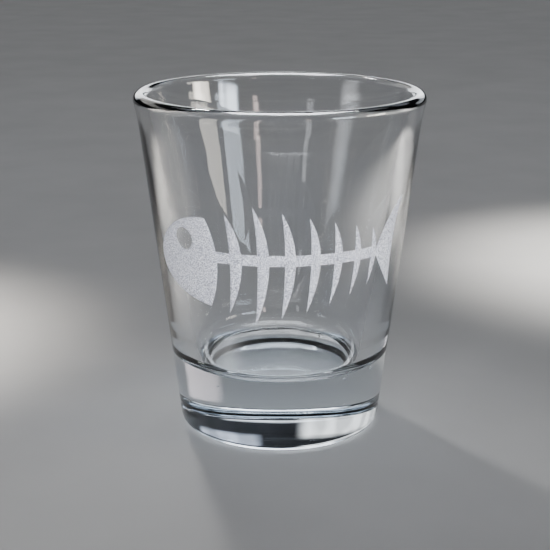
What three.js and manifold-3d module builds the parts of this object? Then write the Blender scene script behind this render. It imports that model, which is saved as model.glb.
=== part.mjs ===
// A heavy-based shot glass with a fish skeleton etched round the front of its wall.
// Millimetres, +Z up. The origin is the middle of the foot, on the surface that the glass stands on.
// The etched fish is on the -Y side, with its head towards -X.

import * as THREE from 'three';
import Module from 'manifold-3d';
import { mergeVertices } from 'three/addons/utils/BufferGeometryUtils.js';
import { TessellateModifier } from 'three/addons/modifiers/TessellateModifier.js';

// ---- Driving dimensions of the glass ----
const HEIGHT = 60.3;
const FOOT_RADIUS = 18.0;
const TAPER = 0.12;
const RIM_FLARE = 0.5;
const RIM_FLARE_HEIGHT = 7.0;
const LIP_THICKNESS = 2.75;
const LIP_ROUNDING = 1.25;
const FLOOR_HEIGHT = 12.3;
const FLOOR_RADIUS = 14.8;
const FLOOR_CORNER_RADIUS = 3.1;
const HEEL_RADIUS = 1.7;
const STANDING_RING_INNER_RADIUS = 14.2;
const UNDERSIDE_RISE = 0.5;
const SEGMENTS_ROUND = 72;
const STEPS_PER_CORNER = 5;
const UNDERSIDE_STEPS = 4;
const RIM_FLARE_STEPS = 4;

// ---- Driving dimensions of the etched fish, laid out flat: x along the wall, y up from the spine ----
const SPINE_HEIGHT = 35.7;
const SPINE_WIDTH = 1.9;
const HEAD_BACK_X = -12.5;
const HEAD_TOP_Y = 6.5;
const HEAD_BOTTOM_Y = -8.9;
const HEAD_BACK_BOW = 1.8;
const SNOUT_X = -24.9;
const SNOUT_Y = -1.8;
const JAW_REACH = 5.0;
const JAW_RISE = 0.6;
const CHIN_DROP = 4.2;
const BROW_RISE = 3.4;
const CROWN_REACH = 5.5;
const CROWN_RISE = 0.6;
const EYE_X = -17.4;
const EYE_Y = 2.3;
const EYE_RADIUS = 1.9;
const EYE_STEPS = 14;
const RIB_COUNT = 7;
const FIRST_RIB_X = -7.3;
const FIRST_RIB_PITCH = 4.65;
const RIB_PITCH_STEP = 0.22;
const FIRST_RIB_WIDTH = 2.1;
const LAST_RIB_WIDTH = 1.1;
const TALLEST_RIB = 1;
const TALLEST_RIB_RISE = 9.2;
const RIB_FALL_TO_HEAD = 1.6;
const RIB_FALL_TO_TAIL = 0.95;
const RIB_DROP_RATIO = 1.27;
const RIB_BOW_RATIO = 0.03;
const TAIL_ROOT_X = 18.1;
const TAIL_NOTCH_X = 22.6;
const TAIL_UPPER_TIP = new THREE.Vector2(24.3, 8.6);
const TAIL_LOWER_TIP = new THREE.Vector2(23.0, -7.2);
const TAIL_LOBE_BOW = 2.2;
const UPPER_LOBE_OUTSIDE = 0.75;
const UPPER_LOBE_INSIDE = 0.55;
const LOWER_LOBE_OUTSIDE = 0.6;
const LOWER_LOBE_INSIDE = 0.45;
const ETCH_CLEARANCE = 0.06;
const ETCH_THICKNESS = 0.14;
const ETCH_EDGE_LENGTH = 1.6;
const ETCH_SPLITS = 16;
const CURVE_STEPS = 6;

const wasm = await Module();
wasm.setup();

const wallRadiusAt = (height) => FOOT_RADIUS + TAPER * height;

// ---- Glass body ----

// The arc that rounds off a corner of an outline, tangent to both of the corner's sides.
function roundedCorner(before, corner, after, radius) {
  const towardsBefore = before.clone().sub(corner).normalize();
  const towardsAfter = after.clone().sub(corner).normalize();
  const halfAngle = Math.acos(towardsBefore.dot(towardsAfter)) / 2;
  const bisector = towardsBefore.clone().add(towardsAfter).normalize();
  const centre = corner.clone().addScaledVector(bisector, radius / Math.sin(halfAngle));
  const setback = radius / Math.tan(halfAngle);
  const start = corner.clone().addScaledVector(towardsBefore, setback).sub(centre);
  const end = corner.clone().addScaledVector(towardsAfter, setback).sub(centre);
  const turn = Math.atan2(start.cross(end), start.dot(end));
  return Array.from({ length: STEPS_PER_CORNER + 1 }, (_, step) => {
    const spoke = start.clone().rotateAround(new THREE.Vector2(), turn * step / STEPS_PER_CORNER);
    return spoke.add(centre);
  });
}

// The shallow dome under the foot: a circular arc from the axis down to the standing ring.
function undersideDome() {
  const domeRadius = (STANDING_RING_INNER_RADIUS ** 2 + UNDERSIDE_RISE ** 2) / (2 * UNDERSIDE_RISE);
  const spread = Math.asin(STANDING_RING_INNER_RADIUS / domeRadius);
  return Array.from({ length: UNDERSIDE_STEPS + 1 }, (_, step) => {
    const angle = spread * step / UNDERSIDE_STEPS;
    return new THREE.Vector2(
      domeRadius * Math.sin(angle),
      domeRadius * (Math.cos(angle) - Math.cos(spread)),
    );
  });
}

// The wall's outside below the lip: the straight taper turns outwards along a shallow parabola.
function rimFlare() {
  return Array.from({ length: RIM_FLARE_STEPS }, (_, step) => {
    const share = step / RIM_FLARE_STEPS;
    const height = HEIGHT - RIM_FLARE_HEIGHT * (1 - share);
    return new THREE.Vector2(wallRadiusAt(height) + RIM_FLARE * share ** 2, height);
  });
}

// Half the section of the glass as (radius, height): out under the foot, up the wall, over the lip
// and down inside to the axis.
function glassProfile() {
  const ringInner = new THREE.Vector2(STANDING_RING_INNER_RADIUS, 0);
  const heel = new THREE.Vector2(FOOT_RADIUS, 0);
  const flare = rimFlare();
  const lipOuter = new THREE.Vector2(wallRadiusAt(HEIGHT) + RIM_FLARE, HEIGHT);
  const lipInner = new THREE.Vector2(lipOuter.x - LIP_THICKNESS, HEIGHT);
  const floorCorner = new THREE.Vector2(FLOOR_RADIUS, FLOOR_HEIGHT);
  const floorMiddle = new THREE.Vector2(0, FLOOR_HEIGHT);
  return [
    ...undersideDome(),
    ...roundedCorner(ringInner, heel, flare[0], HEEL_RADIUS),
    ...flare,
    ...roundedCorner(flare.at(-1), lipOuter, lipInner, LIP_ROUNDING),
    ...roundedCorner(lipOuter, lipInner, floorCorner, LIP_ROUNDING),
    ...roundedCorner(lipInner, floorCorner, floorMiddle, FLOOR_CORNER_RADIUS),
    floorMiddle,
  ];
}

function glassBody() {
  const geometry = new THREE.LatheGeometry(glassProfile(), SEGMENTS_ROUND);
  geometry.rotateX(Math.PI / 2);
  const clearGlass = new THREE.MeshStandardMaterial({ color: 0xe6ecee, roughness: 0.03, metalness: 0 });
  const body = new THREE.Mesh(geometry, clearGlass);
  body.name = 'glass_body';
  return body;
}

// ---- Etched fish ----

// A full circle whose last point stops short of its first.
function eyeOutline() {
  return new THREE.Path(Array.from({ length: EYE_STEPS }, (_, step) => {
    const angle = 2 * Math.PI * step / EYE_STEPS;
    return new THREE.Vector2(EYE_X + EYE_RADIUS * Math.cos(angle), EYE_Y + EYE_RADIUS * Math.sin(angle));
  }));
}

// The head: a bowed back edge, then jaw and crown curves that meet round the snout, and a round eye.
function headShape() {
  const shape = new THREE.Shape();
  const backMiddleY = (HEAD_TOP_Y + HEAD_BOTTOM_Y) / 2;
  shape.moveTo(HEAD_BACK_X, HEAD_TOP_Y);
  shape.quadraticCurveTo(HEAD_BACK_X + 2 * HEAD_BACK_BOW, backMiddleY, HEAD_BACK_X, HEAD_BOTTOM_Y);
  shape.bezierCurveTo(
    HEAD_BACK_X - JAW_REACH, HEAD_BOTTOM_Y + JAW_RISE, SNOUT_X, SNOUT_Y - CHIN_DROP, SNOUT_X, SNOUT_Y,
  );
  shape.bezierCurveTo(
    SNOUT_X, SNOUT_Y + BROW_RISE, HEAD_BACK_X - CROWN_REACH, HEAD_TOP_Y + CROWN_RISE, HEAD_BACK_X, HEAD_TOP_Y,
  );
  shape.holes.push(eyeOutline());
  return shape;
}

// A bar from inside the head to inside the root of the tail.
function spineShape() {
  const halfWidth = SPINE_WIDTH / 2;
  const tailEnd = TAIL_ROOT_X + SPINE_WIDTH;
  return new THREE.Shape([
    new THREE.Vector2(HEAD_BACK_X, -halfWidth),
    new THREE.Vector2(tailEnd, -halfWidth),
    new THREE.Vector2(tailEnd, halfWidth),
    new THREE.Vector2(HEAD_BACK_X, halfWidth),
  ]);
}

// A rib: a crescent with its points above and below the spine, bowed towards the tail.
function ribShape(x, width, rise, drop) {
  const bow = (rise + drop) * RIB_BOW_RATIO;
  const tipX = x - width / 2 - bow;
  const shape = new THREE.Shape();
  shape.moveTo(tipX, -drop);
  shape.quadraticCurveTo(tipX + 2 * (bow + width), 0, tipX, rise);
  shape.quadraticCurveTo(tipX + 2 * bow, 0, tipX, -drop);
  return shape;
}

// The pitch of the ribs closes up and their width and reach shrink towards the tail.
function ribShapes() {
  return Array.from({ length: RIB_COUNT }, (_, index) => {
    const x = FIRST_RIB_X + index * FIRST_RIB_PITCH - RIB_PITCH_STEP * index * (index - 1) / 2;
    const width = THREE.MathUtils.lerp(FIRST_RIB_WIDTH, LAST_RIB_WIDTH, index / (RIB_COUNT - 1));
    const fall = Math.max(
      (TALLEST_RIB - index) * RIB_FALL_TO_HEAD,
      (index - TALLEST_RIB) * RIB_FALL_TO_TAIL,
    );
    const rise = TALLEST_RIB_RISE - fall;
    return ribShape(x, width, rise, rise * RIB_DROP_RATIO);
  });
}

// A forked tail: two swept lobes with a notch between their tips. The shares say how far up or down
// its lobe each edge's control point lies.
function tailShape() {
  const halfWidth = SPINE_WIDTH / 2;
  const lobeX = TAIL_ROOT_X + TAIL_LOBE_BOW;
  const upper = TAIL_UPPER_TIP;
  const lower = TAIL_LOWER_TIP;
  const shape = new THREE.Shape();
  shape.moveTo(TAIL_ROOT_X, halfWidth);
  shape.quadraticCurveTo(lobeX, upper.y * UPPER_LOBE_OUTSIDE, upper.x, upper.y);
  shape.quadraticCurveTo(TAIL_NOTCH_X, upper.y * UPPER_LOBE_INSIDE, TAIL_NOTCH_X, 0);
  shape.quadraticCurveTo(TAIL_NOTCH_X, lower.y * LOWER_LOBE_INSIDE, lower.x, lower.y);
  shape.quadraticCurveTo(lobeX, lower.y * LOWER_LOBE_OUTSIDE, TAIL_ROOT_X, -halfWidth);
  return shape;
}

// A flat plate of one shape, as a solid that can be joined to others.
function plateSolid(shape) {
  const extrusion = new THREE.ExtrudeGeometry(shape, {
    depth: ETCH_THICKNESS, bevelEnabled: false, curveSegments: CURVE_STEPS,
  });
  extrusion.deleteAttribute('normal');
  extrusion.deleteAttribute('uv');
  const welded = mergeVertices(extrusion);
  return new wasm.Manifold(new wasm.Mesh({
    numProp: 3,
    vertProperties: welded.attributes.position.array,
    triVerts: Uint32Array.from(welded.index.array),
  }));
}

// The geometry of a joined solid.
function solidGeometry(solid) {
  const mesh = solid.getMesh();
  const geometry = new THREE.BufferGeometry();
  geometry.setAttribute('position', new THREE.BufferAttribute(mesh.vertProperties, mesh.numProp));
  geometry.setIndex(new THREE.BufferAttribute(mesh.triVerts, 1));
  return geometry;
}

// Bends a flat plate round the wall, so that its x runs round the glass and its z points outwards.
function wrapRoundWall(geometry) {
  const position = geometry.attributes.position;
  const radiusAtSpine = wallRadiusAt(SPINE_HEIGHT);
  for (let index = 0; index < position.count; index += 1) {
    const angle = position.getX(index) / radiusAtSpine;
    const height = SPINE_HEIGHT + position.getY(index);
    const radius = wallRadiusAt(height) + ETCH_CLEARANCE + position.getZ(index);
    position.setXYZ(index, radius * Math.sin(angle), -radius * Math.cos(angle), height);
  }
  return geometry;
}

function etchedFishbone() {
  const shapes = [headShape(), spineShape(), ...ribShapes(), tailShape()];
  const joined = shapes.map(plateSolid).reduce((whole, piece) => whole.add(piece));
  const split = new TessellateModifier(ETCH_EDGE_LENGTH, ETCH_SPLITS).modify(solidGeometry(joined));
  const frostedGlass = new THREE.MeshStandardMaterial({ color: 0xc9ced8, roughness: 0.85, metalness: 0 });
  const fish = new THREE.Mesh(wrapRoundWall(mergeVertices(split)), frostedGlass);
  fish.name = 'etched_fishbone';
  return fish;
}

const shotGlass = new THREE.Group();
shotGlass.add(glassBody(), etchedFishbone());

export default shotGlass;
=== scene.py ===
"""A clear shot glass with an etched fish skeleton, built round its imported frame. Lengths are in metres."""

import math

import bpy
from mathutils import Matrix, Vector
from mathutils.geometry import delaunay_2d_cdt


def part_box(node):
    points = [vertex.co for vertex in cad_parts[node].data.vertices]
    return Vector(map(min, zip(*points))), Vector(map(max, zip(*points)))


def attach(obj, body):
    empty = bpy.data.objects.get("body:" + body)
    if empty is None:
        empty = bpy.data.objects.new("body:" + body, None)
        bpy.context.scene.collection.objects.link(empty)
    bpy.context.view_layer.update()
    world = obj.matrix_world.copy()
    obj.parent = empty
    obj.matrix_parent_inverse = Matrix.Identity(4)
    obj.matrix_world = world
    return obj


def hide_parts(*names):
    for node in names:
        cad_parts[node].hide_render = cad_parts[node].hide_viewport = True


MM = 0.001
SAME_POINT = 1e-7

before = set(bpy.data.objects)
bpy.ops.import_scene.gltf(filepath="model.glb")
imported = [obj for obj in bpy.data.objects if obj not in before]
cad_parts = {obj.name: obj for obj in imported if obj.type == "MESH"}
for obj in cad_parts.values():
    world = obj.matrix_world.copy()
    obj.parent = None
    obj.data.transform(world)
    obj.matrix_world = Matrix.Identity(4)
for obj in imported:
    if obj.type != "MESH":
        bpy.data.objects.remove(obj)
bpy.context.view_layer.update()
BODY_LOW, BODY_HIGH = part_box("glass_body")

# ---- Sizes of the glass. The height comes from the frame, the rest repeat the CAD's ----
HEIGHT = BODY_HIGH.z - BODY_LOW.z
FOOT_RADIUS = 18.0 * MM
TAPER = 0.12
RIM_FLARE = 0.5 * MM
RIM_FLARE_HEIGHT = 7.0 * MM
LIP_THICKNESS = 2.75 * MM
LIP_ROUNDING = 1.25 * MM
LIP_CLEARANCE = 1.2 * LIP_ROUNDING
FLOOR_HEIGHT = 12.3 * MM
FLOOR_RADIUS = 14.8 * MM
FLOOR_CORNER_RADIUS = 3.1 * MM
HEEL_RADIUS = 1.7 * MM
STANDING_RING_INNER_RADIUS = 14.2 * MM
UNDERSIDE_RISE = 0.5 * MM
SEGMENTS_ROUND = 288
CORNER_STEPS = 14
DOME_STEPS = 12
WALL_STEPS = 24
RIM_FLARE_STEPS = 10
CAVITY_FLOOR_STEPS = 4

# ---- Pressed waviness of the inner wall: (waves round, size, radians of lean from foot to rim, phase) ----
RIPPLES = (
    (5, 0.022 * MM, 1.8, 0.4),
    (9, 0.014 * MM, -3.1, 1.9),
    (14, 0.008 * MM, 4.7, 4.1),
    (23, 0.004 * MM, -1.2, 2.6),
)
RIPPLE_FADE = 6 * MM

# ---- Seeds, the tiny air bubbles in the glass: (place, radius), in millimetres ----
SEEDS = (
    ((10.7, 1.5, 10.9), 0.26),
    ((8.7, -2.5, 11.1), 0.22),
    ((9.1, -7.0, 11.3), 0.20),
    ((9.2, 14.1, 14.3), 0.30),
    ((-6.4, 4.2, 7.6), 0.16),
    ((2.1, -9.6, 4.4), 0.13),
)
SEED_SEGMENTS = 16
SEED_RINGS = 8

# ---- Sizes of the etched fish, laid out flat: x along the wall, y up from the spine ----
SPINE_HEIGHT = 35.7 * MM
SPINE_WIDTH = 1.9 * MM
HEAD_BACK_X = -12.5 * MM
HEAD_TOP_Y = 6.5 * MM
HEAD_BOTTOM_Y = -8.9 * MM
HEAD_BACK_BOW = 1.8 * MM
SNOUT_X = -24.9 * MM
SNOUT_Y = -1.8 * MM
JAW_REACH = 5.0 * MM
JAW_RISE = 0.6 * MM
CHIN_DROP = 4.2 * MM
BROW_RISE = 3.4 * MM
CROWN_REACH = 5.5 * MM
CROWN_RISE = 0.6 * MM
EYE_X = -17.4 * MM
EYE_Y = 2.3 * MM
EYE_RADIUS = 1.9 * MM
RIB_COUNT = 7
FIRST_RIB_X = -7.3 * MM
FIRST_RIB_PITCH = 4.65 * MM
RIB_PITCH_STEP = 0.22 * MM
FIRST_RIB_WIDTH = 2.1 * MM
LAST_RIB_WIDTH = 1.1 * MM
TALLEST_RIB = 1
TALLEST_RIB_RISE = 9.2 * MM
RIB_FALL_TO_HEAD = 1.6 * MM
RIB_FALL_TO_TAIL = 0.95 * MM
RIB_DROP_RATIO = 1.27
RIB_BOW_RATIO = 0.03
TAIL_ROOT_X = 18.1 * MM
TAIL_NOTCH_X = 22.6 * MM
TAIL_UPPER_TIP = Vector((24.3, 8.6)) * MM
TAIL_LOWER_TIP = Vector((23.0, -7.2)) * MM
TAIL_LOBE_BOW = 2.2 * MM
UPPER_LOBE_OUTSIDE = 0.75
UPPER_LOBE_INSIDE = 0.55
LOWER_LOBE_OUTSIDE = 0.6
LOWER_LOBE_INSIDE = 0.45
ETCH_CLEARANCE = 0.03 * MM
ETCH_THICKNESS = 0.06 * MM
ETCH_GRID = 0.45 * MM
ETCH_GRID_CLEARANCE = 0.35 * ETCH_GRID
CURVE_STEPS = 24

# ---- Camera: millimetres of lens and sensor, then metres and degrees ----
LENS = 82.87
SENSOR_WIDTH = 36
NEAREST_SEEN = 0.005
CAMERA_PLACE = (0, -0.2194, 0.0917)
CAMERA_DOWN = 16.47
CAMERA_LEFT = 0.215

# ---- Glass and frost ----
GLASS_IOR = 1.52
GLASS_TINT = (0.70, 0.86, 1.0, 1)
GLASS_TINT_DENSITY = 13.0
GLASS_WAVE_HEIGHT = 0.03 * MM
FROST_IOR = 1.45
FROST_GRAIN_HEIGHT = 0.04 * MM

# ---- Floor ----
FLOOR_HALF_WIDTH = 2.0
FLOOR_ROUGHNESS = 0.9
FLOOR_SHINE = 0.15


# ---- Camera ----

def add_camera():
    data = bpy.data.cameras.new("camera")
    data.sensor_width = SENSOR_WIDTH
    data.lens = LENS
    data.clip_start = NEAREST_SEEN
    camera = bpy.data.objects.new("camera", data)
    camera.location = CAMERA_PLACE
    camera.rotation_euler = (math.radians(90 - CAMERA_DOWN), 0, math.radians(CAMERA_LEFT))
    bpy.context.scene.collection.objects.link(camera)
    bpy.context.scene.camera = camera


# ---- Mesh helpers ----

def new_piece(name, vertices, faces, material, node):
    """Adds a smooth mesh that stands for a CAD node and rides on the part's only body."""
    mesh = bpy.data.meshes.new(name)
    mesh.from_pydata(vertices, [], faces)
    mesh.polygons.foreach_set("use_smooth", [True] * len(mesh.polygons))
    mesh.materials.append(material)
    mesh.update()
    piece = bpy.data.objects.new(name, mesh)
    bpy.context.scene.collection.objects.link(piece)
    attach(piece, "root")
    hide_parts(node)


# ---- Glass body ----

def rounded_corner(before, corner, after, radius):
    """The arc that rounds off a corner of an outline, tangent to both of its sides."""
    towards_before = (before - corner).normalized()
    towards_after = (after - corner).normalized()
    half_angle = towards_before.angle(towards_after) / 2
    centre = corner + (towards_before + towards_after).normalized() * (radius / math.sin(half_angle))
    setback = radius / math.tan(half_angle)
    start = corner + towards_before * setback - centre
    end = corner + towards_after * setback - centre
    first = math.atan2(start.y, start.x)
    turn = math.atan2(start.cross(end), start.dot(end))
    angles = [first + turn * step / CORNER_STEPS for step in range(CORNER_STEPS + 1)]
    return [centre + radius * Vector((math.cos(angle), math.sin(angle))) for angle in angles]


def straight_run(start, end, steps):
    """Points strictly between two points, for an even mesh along a straight stretch."""
    return [start.lerp(end, step / steps) for step in range(1, steps)]


def underside_dome():
    """The shallow dome under the foot, from its middle out to the standing ring."""
    dome_radius = (STANDING_RING_INNER_RADIUS ** 2 + UNDERSIDE_RISE ** 2) / (2 * UNDERSIDE_RISE)
    spread = math.asin(STANDING_RING_INNER_RADIUS / dome_radius)
    angles = [spread * step / DOME_STEPS for step in range(DOME_STEPS + 1)]
    return [
        dome_radius * Vector((math.sin(angle), math.cos(angle) - math.cos(spread)))
        for angle in angles
    ]


def wall_radius_at(height):
    return FOOT_RADIUS + TAPER * height


def rim_flare():
    """The wall's outside below the lip: the straight taper turns outwards along a shallow parabola."""
    points = []
    for step in range(RIM_FLARE_STEPS + 1):
        share = step / RIM_FLARE_STEPS
        height = HEIGHT - RIM_FLARE_HEIGHT * (1 - share)
        points.append(Vector((wall_radius_at(height) + RIM_FLARE * share ** 2, height)))
    return points


def glass_profile():
    """Half the section as (radius, height): under the foot, up the wall, over the lip, down inside."""
    ring_inner = Vector((STANDING_RING_INNER_RADIUS, 0))
    heel = Vector((FOOT_RADIUS, 0))
    flare = rim_flare()
    lip_outer = flare[-1]
    lip_inner = Vector((lip_outer.x - LIP_THICKNESS, HEIGHT))
    floor_corner = Vector((FLOOR_RADIUS, FLOOR_HEIGHT))
    floor_middle = Vector((0, FLOOR_HEIGHT))
    heel_arc = rounded_corner(ring_inner, heel, flare[0], HEEL_RADIUS)
    below_lip = [point for point in flare if (lip_outer - point).length > LIP_CLEARANCE]
    outer_lip_arc = rounded_corner(below_lip[-1], lip_outer, lip_inner, LIP_ROUNDING)
    inner_lip_arc = rounded_corner(lip_outer, lip_inner, floor_corner, LIP_ROUNDING)
    floor_arc = rounded_corner(lip_inner, floor_corner, floor_middle, FLOOR_CORNER_RADIUS)
    return [
        *underside_dome(),
        *heel_arc,
        *straight_run(heel_arc[-1], flare[0], WALL_STEPS),
        *below_lip,
        *outer_lip_arc,
        *inner_lip_arc,
        *straight_run(inner_lip_arc[-1], floor_arc[0], WALL_STEPS),
        *floor_arc,
        *straight_run(floor_arc[-1], floor_middle, CAVITY_FLOOR_STEPS),
        floor_middle,
    ]


def ripple(angle, height):
    """How far the inner wall stands proud of its true cone, at an angle and height."""
    return sum(
        size * math.cos(waves * angle + lean * height / HEIGHT + phase)
        for waves, size, lean, phase in RIPPLES
    )


def ripple_share(profile, index):
    """How much of the ripple a point of the glass's profile takes: none, except on the inner wall."""
    height = profile[index].y
    if index <= len(profile) // 2 or height <= FLOOR_HEIGHT:
        return 0
    return min(1, (height - FLOOR_HEIGHT) / RIPPLE_FADE, (HEIGHT - height) / RIPPLE_FADE)


def revolve(profile, shares, segments):
    """A closed solid of revolution, as vertices and faces. The profile starts and ends on the axis."""
    vertices = [(0, 0, profile[0].y), (0, 0, profile[-1].y)]
    for point, share in zip(profile[1:-1], shares[1:-1]):
        for segment in range(segments):
            angle = 2 * math.pi * segment / segments
            radius = point.x + share * ripple(angle, point.y)
            vertices.append((radius * math.cos(angle), radius * math.sin(angle), point.y))
    first_ring = 2
    last_ring = len(vertices) - segments
    faces = []
    for segment in range(segments):
        after = (segment + 1) % segments
        faces.append((0, first_ring + after, first_ring + segment))
        for low in range(first_ring, last_ring, segments):
            high = low + segments
            faces.append((low + segment, low + after, high + after, high + segment))
        faces.append((1, last_ring + segment, last_ring + after))
    return vertices, faces


def without_repeats(points):
    kept = [points[0]]
    for point in points[1:]:
        if (point - kept[-1]).length > SAME_POINT:
            kept.append(point)
    return kept


def seed_profile(radius):
    """Half a circle from its top to its bottom, so that its faces look into the bubble."""
    angles = [math.pi * step / SEED_RINGS for step in range(SEED_RINGS + 1)]
    return [Vector((radius * math.sin(angle), radius * math.cos(angle))) for angle in angles]


def add_seeds(vertices, faces):
    """Adds each bubble to the glass's mesh, as a closed hollow with no ripple."""
    for place, radius in SEEDS:
        first = len(vertices)
        profile = seed_profile(radius * MM)
        bubble, sides = revolve(profile, [0] * len(profile), SEED_SEGMENTS)
        vertices.extend(tuple(Vector(point) + Vector(place) * MM) for point in bubble)
        faces.extend(tuple(first + index for index in side) for side in sides)


def add_glass_body():
    profile = without_repeats(glass_profile())
    shares = [ripple_share(profile, index) for index in range(len(profile))]
    vertices, faces = revolve(profile, shares, SEGMENTS_ROUND)
    add_seeds(vertices, faces)
    new_piece("clear_glass_body", vertices, faces, clear_glass(), "glass_body")


# ---- Etched fish ----

def quadratic(start, control, end):
    """Points of a quadratic curve, without its last one."""
    points = []
    for step in range(CURVE_STEPS):
        share = step / CURVE_STEPS
        points.append(start.lerp(control, share).lerp(control.lerp(end, share), share))
    return points


def cubic(start, first, second, end):
    """Points of a cubic curve, without its last one."""
    points = []
    for step in range(CURVE_STEPS):
        share = step / CURVE_STEPS
        towards_first = start.lerp(first, share)
        middle = first.lerp(second, share)
        towards_end = second.lerp(end, share)
        points.append(towards_first.lerp(middle, share).lerp(middle.lerp(towards_end, share), share))
    return points


def head_outline():
    top = Vector((HEAD_BACK_X, HEAD_TOP_Y))
    bottom = Vector((HEAD_BACK_X, HEAD_BOTTOM_Y))
    snout = Vector((SNOUT_X, SNOUT_Y))
    bow = Vector((HEAD_BACK_X + 2 * HEAD_BACK_BOW, (HEAD_TOP_Y + HEAD_BOTTOM_Y) / 2))
    jaw = bottom + Vector((-JAW_REACH, JAW_RISE))
    chin = snout - Vector((0, CHIN_DROP))
    brow = snout + Vector((0, BROW_RISE))
    crown = top + Vector((-CROWN_REACH, CROWN_RISE))
    return [
        *quadratic(top, bow, bottom),
        *cubic(bottom, jaw, chin, snout),
        *cubic(snout, brow, crown, top),
    ]


def eye_outline():
    steps = 2 * CURVE_STEPS
    angles = [2 * math.pi * step / steps for step in range(steps)]
    return [
        Vector((EYE_X + EYE_RADIUS * math.cos(angle), EYE_Y + EYE_RADIUS * math.sin(angle)))
        for angle in angles
    ]


def spine_outline():
    half_width = SPINE_WIDTH / 2
    tail_end = TAIL_ROOT_X + SPINE_WIDTH
    return [
        Vector((HEAD_BACK_X, -half_width)),
        Vector((tail_end, -half_width)),
        Vector((tail_end, half_width)),
        Vector((HEAD_BACK_X, half_width)),
    ]


def rib_outline(index):
    """A tapering, slightly bowed rib that crosses the spine, counted from the head."""
    x = FIRST_RIB_X + index * FIRST_RIB_PITCH - RIB_PITCH_STEP * index * (index - 1) / 2
    width = FIRST_RIB_WIDTH + (LAST_RIB_WIDTH - FIRST_RIB_WIDTH) * index / (RIB_COUNT - 1)
    fall = max((TALLEST_RIB - index) * RIB_FALL_TO_HEAD, (index - TALLEST_RIB) * RIB_FALL_TO_TAIL)
    rise = TALLEST_RIB_RISE - fall
    drop = rise * RIB_DROP_RATIO
    bow = (rise + drop) * RIB_BOW_RATIO
    tip_x = x - width / 2 - bow
    top = Vector((tip_x, rise))
    bottom = Vector((tip_x, -drop))
    return [
        *quadratic(bottom, Vector((tip_x + 2 * (bow + width), 0)), top),
        *quadratic(top, Vector((tip_x + 2 * bow, 0)), bottom),
    ]


def tail_outline():
    half_width = SPINE_WIDTH / 2
    root_top = Vector((TAIL_ROOT_X, half_width))
    root_bottom = Vector((TAIL_ROOT_X, -half_width))
    notch = Vector((TAIL_NOTCH_X, 0))
    lobe_x = TAIL_ROOT_X + TAIL_LOBE_BOW
    upper = TAIL_UPPER_TIP
    lower = TAIL_LOWER_TIP
    return [
        *quadratic(root_top, Vector((lobe_x, upper.y * UPPER_LOBE_OUTSIDE)), upper),
        *quadratic(upper, Vector((TAIL_NOTCH_X, upper.y * UPPER_LOBE_INSIDE)), notch),
        *quadratic(notch, Vector((TAIL_NOTCH_X, lower.y * LOWER_LOBE_INSIDE)), lower),
        *quadratic(lower, Vector((lobe_x, lower.y * LOWER_LOBE_OUTSIDE)), root_bottom),
    ]


def sides_of(loop):
    """Each neighbouring pair round a closed loop, the last one back to the first."""
    return zip(loop, (*loop[1:], loop[0]))


def inside(point, outline):
    """True if a point is within a closed outline, by counting the sides that a level line crosses."""
    crossings = 0
    for start, end in sides_of(outline):
        if (start.y > point.y) != (end.y > point.y):
            crossing_x = start.x + (point.y - start.y) * (end.x - start.x) / (end.y - start.y)
            crossings += crossing_x > point.x
    return crossings % 2 == 1


def near_outline(point, outline, distance):
    for start, end in sides_of(outline):
        side = end - start
        share = min(1, max(0, (point - start).dot(side) / side.length_squared))
        if (start + side * share - point).length < distance:
            return True
    return False


def fish_outlines():
    ribs = [rib_outline(index) for index in range(RIB_COUNT)]
    return [head_outline(), spine_outline(), *ribs, tail_outline()]


def in_fish(point, outlines, eye):
    return not inside(point, eye) and any(inside(point, outline) for outline in outlines)


def fish_grid(outlines, eye):
    """Points on a staggered grid inside the fish, a little clear of every outline."""
    every_outline = [*outlines, eye]
    across = [point.x for outline in every_outline for point in outline]
    upwards = [point.y for outline in every_outline for point in outline]
    left = min(across)
    low = min(upwards)
    points = []
    for row in range(int((max(upwards) - low) / ETCH_GRID) + 1):
        for column in range(int((max(across) - left) / ETCH_GRID) + 1):
            stagger = 0.5 * (row % 2)
            point = Vector((left + (column + stagger) * ETCH_GRID, low + row * ETCH_GRID))
            near = any(near_outline(point, outline, ETCH_GRID_CLEARANCE) for outline in every_outline)
            if in_fish(point, outlines, eye) and not near:
                points.append(point)
    return points


def fish_triangles():
    """The joined outlines of the fish as a fine flat triangle mesh: points, and triangles of indices."""
    outlines = fish_outlines()
    eye = eye_outline()
    points = []
    edges = []
    for outline in [*outlines, eye]:
        loop = range(len(points), len(points) + len(outline))
        edges.extend(sides_of(loop))
        points.extend(outline)
    points.extend(fish_grid(outlines, eye))
    flat, _, triangles, _, _, _ = delaunay_2d_cdt(points, edges, [], 0, SAME_POINT)
    kept = []
    for first, second, third in triangles:
        if in_fish((flat[first] + flat[second] + flat[third]) / 3, outlines, eye):
            kept.append((first, second, third))
    return flat, kept


def on_wall(point, depth):
    """A flat point of the fish, wrapped round the wall at a distance out from the glass."""
    angle = point.x / wall_radius_at(SPINE_HEIGHT)
    height = SPINE_HEIGHT + point.y
    radius = wall_radius_at(height) + depth
    return (radius * math.sin(angle), -radius * math.cos(angle), height)


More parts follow.
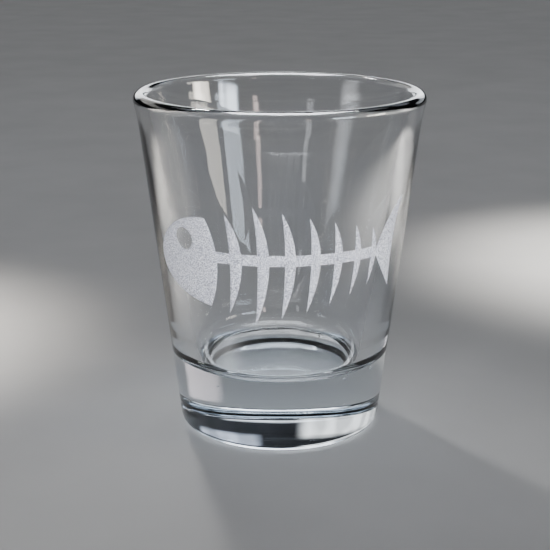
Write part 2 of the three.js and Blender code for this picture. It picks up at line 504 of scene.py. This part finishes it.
def add_etched_fish():
    """A thin closed skin: the fish's triangles on its outside and inside, joined by a rim."""
    flat, triangles = fish_triangles()
    used = sorted({index for triangle in triangles for index in triangle})
    place = {index: position for position, index in enumerate(used)}
    count = len(used)
    vertices = [on_wall(flat[index], ETCH_CLEARANCE) for index in used]
    vertices += [on_wall(flat[index], ETCH_CLEARANCE + ETCH_THICKNESS) for index in used]
    outer = [tuple(place[index] + count for index in triangle) for triangle in triangles]
    inner = [tuple(place[index] for index in reversed(triangle)) for triangle in triangles]
    sides = {side for triangle in triangles for side in sides_of(triangle)}
    rim = []
    for start, end in sorted(sides):
        if (end, start) not in sides:
            rim.append((place[start], place[end], place[end] + count, place[start] + count))
    faces = outer + inner + rim
    new_piece("frosted_fishbone", vertices, faces, etched_frost(), "etched_fishbone")


# ---- Materials ----

def new_material(name):
    material = bpy.data.materials.new(name)
    material.use_nodes = True
    nodes, links = material.node_tree.nodes, material.node_tree.links
    return material, nodes, links


def noise(nodes, links, scale, detail):
    """A noise texture in the object's own metres."""
    coordinates = nodes.new("ShaderNodeTexCoord")
    texture = nodes.new("ShaderNodeTexNoise")
    texture.inputs["Scale"].default_value = scale
    texture.inputs["Detail"].default_value = detail
    links.new(coordinates.outputs["Object"], texture.inputs["Vector"])
    return texture


def ramp(nodes, links, source, stops):
    """A colour ramp of (place, colour) stops, fed by a number."""
    node = nodes.new("ShaderNodeValToRGB")
    elements = node.color_ramp.elements
    elements[0].position, elements[0].color = stops[0]
    elements[1].position, elements[1].color = stops[-1]
    for place, colour in stops[1:-1]:
        elements.new(place).color = colour
    links.new(source, node.inputs["Fac"])
    return node


def grey(level):
    return (level, level, level, 1)


def bump(nodes, links, height, distance):
    node = nodes.new("ShaderNodeBump")
    node.inputs["Distance"].default_value = distance
    links.new(height, node.inputs["Height"])
    return node


def clear_glass():
    """Clear soda-lime glass, faintly cool through its thickness, with a barely wavy polished skin."""
    material, nodes, links = new_material("clear_glass")
    nodes.clear()
    output = nodes.new("ShaderNodeOutputMaterial")
    glass = nodes.new("ShaderNodeBsdfGlass")
    glass.inputs["IOR"].default_value = GLASS_IOR
    glass.inputs["Roughness"].default_value = 0.0
    clouds = noise(nodes, links, scale=60, detail=2)
    cast = ramp(nodes, links, clouds.outputs["Fac"], (
        (0.3, (0.985, 0.99, 1.0, 1)),
        (0.7, (1.0, 0.997, 0.99, 1)),
    ))
    links.new(cast.outputs["Color"], glass.inputs["Color"])
    skin = noise(nodes, links, scale=140, detail=1)
    waves = bump(nodes, links, skin.outputs["Fac"], GLASS_WAVE_HEIGHT)
    links.new(waves.outputs["Normal"], glass.inputs["Normal"])
    links.new(glass.outputs["BSDF"], output.inputs["Surface"])
    body = nodes.new("ShaderNodeVolumeAbsorption")
    body.inputs["Color"].default_value = GLASS_TINT
    body.inputs["Density"].default_value = GLASS_TINT_DENSITY
    links.new(body.outputs["Volume"], output.inputs["Volume"])
    return material


def etched_frost():
    """Frost from fine blasting: pale grains, with darker and half clear ones among them."""
    material, nodes, links = new_material("etched_frost")
    shader = nodes["Principled BSDF"]
    grains = noise(nodes, links, scale=6000, detail=2)
    speckle = ramp(nodes, links, grains.outputs["Fac"], (
        (0.43, (0.17, 0.18, 0.23, 1)),
        (0.50, (0.70, 0.73, 0.87, 1)),
        (0.56, (0.96, 0.97, 1.0, 1)),
    ))
    links.new(speckle.outputs["Color"], shader.inputs["Base Color"])
    veil = ramp(nodes, links, grains.outputs["Fac"], ((0.38, grey(0.50)), (0.62, grey(0.15))))
    links.new(veil.outputs["Color"], shader.inputs["Transmission Weight"])
    patches = noise(nodes, links, scale=900, detail=2)
    rough = ramp(nodes, links, patches.outputs["Fac"], ((0.3, grey(0.55)), (0.7, grey(0.8))))
    links.new(rough.outputs["Color"], shader.inputs["Roughness"])
    shader.inputs["IOR"].default_value = FROST_IOR
    grain_bump = bump(nodes, links, grains.outputs["Fac"], FROST_GRAIN_HEIGHT)
    links.new(grain_bump.outputs["Normal"], shader.inputs["Normal"])
    return material


# ---- Studio ----

def pale_floor():
    material, nodes, links = new_material("pale_floor")
    shader = nodes["Principled BSDF"]
    clouds = noise(nodes, links, scale=30, detail=3)
    shade = ramp(nodes, links, clouds.outputs["Fac"], ((0.3, grey(0.39)), (0.7, grey(0.43))))
    links.new(shade.outputs["Color"], shader.inputs["Base Color"])
    shader.inputs["Roughness"].default_value = FLOOR_ROUGHNESS
    shader.inputs["Specular IOR Level"].default_value = FLOOR_SHINE
    return material


def add_floor():
    mesh = bpy.data.meshes.new("floor")
    half = FLOOR_HALF_WIDTH
    corners = [(-half, -half, 0), (half, -half, 0), (half, half, 0), (-half, half, 0)]
    mesh.from_pydata(corners, [], [(0, 1, 2, 3)])
    mesh.materials.append(pale_floor())
    floor = bpy.data.objects.new("floor", mesh)
    bpy.context.scene.collection.objects.link(floor)


# Soft panels of light far round the glass: degrees round from straight behind it to the right,
# degrees up, (width, height) in degrees, radiance, degrees of soft edge, colour.
PANELS = (
    (8, 10, (76, 11), 1.5, 5, (0.88, 0.94, 1.0)),  # a wide, dim band behind the glass
    (0, 11, (46, 11), 5.0, 8, (0.95, 0.97, 1.0)),  # a brighter band in the middle of it
    (-43, 23.5, (68, 13), 2.1, 7, (1.0, 0.99, 0.97)),  # behind, higher up and to the left
    (27, 33, (36, 10), 1.3, 6, (0.80, 0.86, 1.0)),  # behind, highest and to the right
    (102, 5, (17, 12), 50.0, 4, (1.0, 0.93, 0.82)),  # bright cream, at the right
    (131, 5, (18, 12), 36.0, 5, (0.80, 0.89, 1.0)),  # bright blue-white, in front to the right
    (158, 4, (4, 12), 14.0, 3, (1.0, 0.80, 0.76)),  # a thin pinkish strip, nearly in front
    (-152, 3, (5, 10), 8.0, 3, (0.95, 0.97, 1.0)),  # a thin white strip, in front to the left
    (-112, 5, (16, 12), 7.0, 8, (0.92, 0.95, 1.0)),  # dim, at the left
)
STUDIO_DARK = (0.024, 0.026, 0.031)

# Upright bands that make the studio uneven: fineness, change with height, darkest, lightest.
SLAT_SCALE = 9.0
SLAT_SHEAR = 0.08
SLAT_DARKEST = 0.60
SLAT_LIGHTEST = 1.0

# Softboxes: name, place, aim, (width, height), watts, what they light, colour.
SOFTBOXES = (
    ("rim_softbox", (0.02, 0.10, 0.65), (0, 0, 0.06), (0.45, 0.45), 24.0, "gloss", (0.93, 0.96, 1.0)),
    ("ceiling_softbox", (0, 0, 0.80), (0, 0, 0.06), (1.2, 1.2), 6.5, "glass", (0.86, 0.92, 1.0)),
    ("front_softbox", (-0.15, -0.80, 0.06), (0, 0, 0.035), (0.6, 0.1), 10.5, "matte", (0.97, 0.97, 1.0)),
)

# Spots that fade from their middle to their edge: name, place, aim, radius lit there, watts, colour.
SPOTS = (
    ("left_spot", (-0.103, 0.040, 0.45), (-0.103, 0.040, 0), 0.066, 28.0, (1.0, 0.94, 0.86)),
    ("right_spot", (0.096, 0.102, 0.45), (0.096, 0.102, 0), 0.066, 30.0, (1.0, 0.96, 0.90)),
    ("key_spot", (-0.138, 0.325, 0.420), (0, -0.07, 0), 0.11, 5.0, (1.0, 0.99, 0.97)),
)
SPOT_FADE = 1.0
SPOT_LAMP_RADIUS = 0.02


def maths(nodes, links, operation, *values):
    node = nodes.new("ShaderNodeMath")
    node.operation = operation
    for socket, value in zip(node.inputs, values):
        if isinstance(value, (int, float)):
            socket.default_value = value
        else:
            links.new(value, socket)
    return node.outputs["Value"]


def vector_maths(nodes, links, operation, *values):
    node = nodes.new("ShaderNodeVectorMath")
    node.operation = operation
    for socket, value in zip(node.inputs, values):
        if isinstance(value, tuple):
            socket.default_value = value
        else:
            links.new(value, socket)
    return node.outputs["Vector"]


def within(nodes, links, angle, middle, width, edge):
    """1 where an angle is within a band about its middle, fading to 0 over its soft edge."""
    offset = maths(nodes, links, "SUBTRACT", angle, math.radians(middle))
    turned = maths(nodes, links, "WRAP", offset, math.pi, -math.pi)
    fade = nodes.new("ShaderNodeMapRange")
    fade.interpolation_type = "SMOOTHSTEP"
    links.new(maths(nodes, links, "ABSOLUTE", turned), fade.inputs["Value"])
    fade.inputs["From Min"].default_value = math.radians((width + edge) / 2)
    fade.inputs["From Max"].default_value = math.radians((width - edge) / 2)
    return fade.outputs["Result"]


def slats(nodes, links, coordinates):
    """Soft upright bands of lighter and darker grey all round the studio."""
    upright = vector_maths(nodes, links, "MULTIPLY", coordinates, (1, 1, SLAT_SHEAR))
    texture = nodes.new("ShaderNodeTexNoise")
    texture.inputs["Scale"].default_value = SLAT_SCALE
    texture.inputs["Detail"].default_value = 0.0
    links.new(upright, texture.inputs["Vector"])
    stops = ((0.35, grey(SLAT_DARKEST)), (0.65, grey(SLAT_LIGHTEST)))
    return ramp(nodes, links, texture.outputs["Fac"], stops).outputs["Color"]


def add_studio():
    """A dark room with soft panels of light, as a background that depends on direction alone."""
    world = bpy.data.worlds.new("studio")
    world.use_nodes = True
    nodes, links = world.node_tree.nodes, world.node_tree.links
    direction = nodes.new("ShaderNodeSeparateXYZ")
    coordinates = nodes.new("ShaderNodeTexCoord").outputs["Generated"]
    links.new(coordinates, direction.inputs["Vector"])
    around = maths(nodes, links, "ARCTAN2", direction.outputs["X"], direction.outputs["Y"])
    up = maths(nodes, links, "ARCSINE", direction.outputs["Z"])
    room = nodes.new("ShaderNodeRGB")
    room.outputs["Color"].default_value = (*STUDIO_DARK, 1)
    light = room.outputs["Color"]
    for round_degrees, up_degrees, (width, height), radiance, edge, colour in PANELS:
        across = within(nodes, links, around, round_degrees, width, edge)
        along = within(nodes, links, up, up_degrees, height, edge / 2)
        cover = maths(nodes, links, "MULTIPLY", across, along)
        glow = tuple(radiance * channel for channel in colour)
        light = vector_maths(nodes, links, "MULTIPLY_ADD", cover, glow, light)
    uneven = slats(nodes, links, coordinates)
    light = vector_maths(nodes, links, "MULTIPLY", light, uneven)
    links.new(light, nodes["Background"].inputs["Color"])
    bpy.context.scene.world = world


def add_light(data, place, aim):
    """Hangs a lamp at a place and points it, hidden from the camera."""
    light = bpy.data.objects.new(data.name, data)
    light.location = place
    light.rotation_euler = (Vector(aim) - Vector(place)).to_track_quat("-Z", "Y").to_euler()
    light.visible_camera = False
    bpy.context.scene.collection.objects.link(light)
    return light


def add_softbox(name, place, aim, size, watts, lights_up, colour):
    """A flat lamp that shows in reflections, in reflections and through glass, or on matte surfaces."""
    data = bpy.data.lights.new(name, "AREA")
    data.shape = "RECTANGLE"
    data.size, data.size_y = size
    data.energy = watts
    data.color = colour
    light = add_light(data, place, aim)
    light.visible_transmission = lights_up == "glass"
    light.visible_glossy = lights_up in ("gloss", "glass")
    light.visible_diffuse = lights_up == "matte"


def add_spot(name, place, middle, radius, watts, colour):
    data = bpy.data.lights.new(name, "SPOT")
    data.energy = watts
    data.color = colour
    data.spot_size = 2 * math.atan(radius / (Vector(place) - Vector(middle)).length)
    data.spot_blend = SPOT_FADE
    data.shadow_soft_size = SPOT_LAMP_RADIUS
    add_light(data, place, middle)


add_camera()
add_glass_body()
add_etched_fish()
add_floor()
add_studio()
for softbox in SOFTBOXES:
    add_softbox(*softbox)
for spot in SPOTS:
    add_spot(*spot)
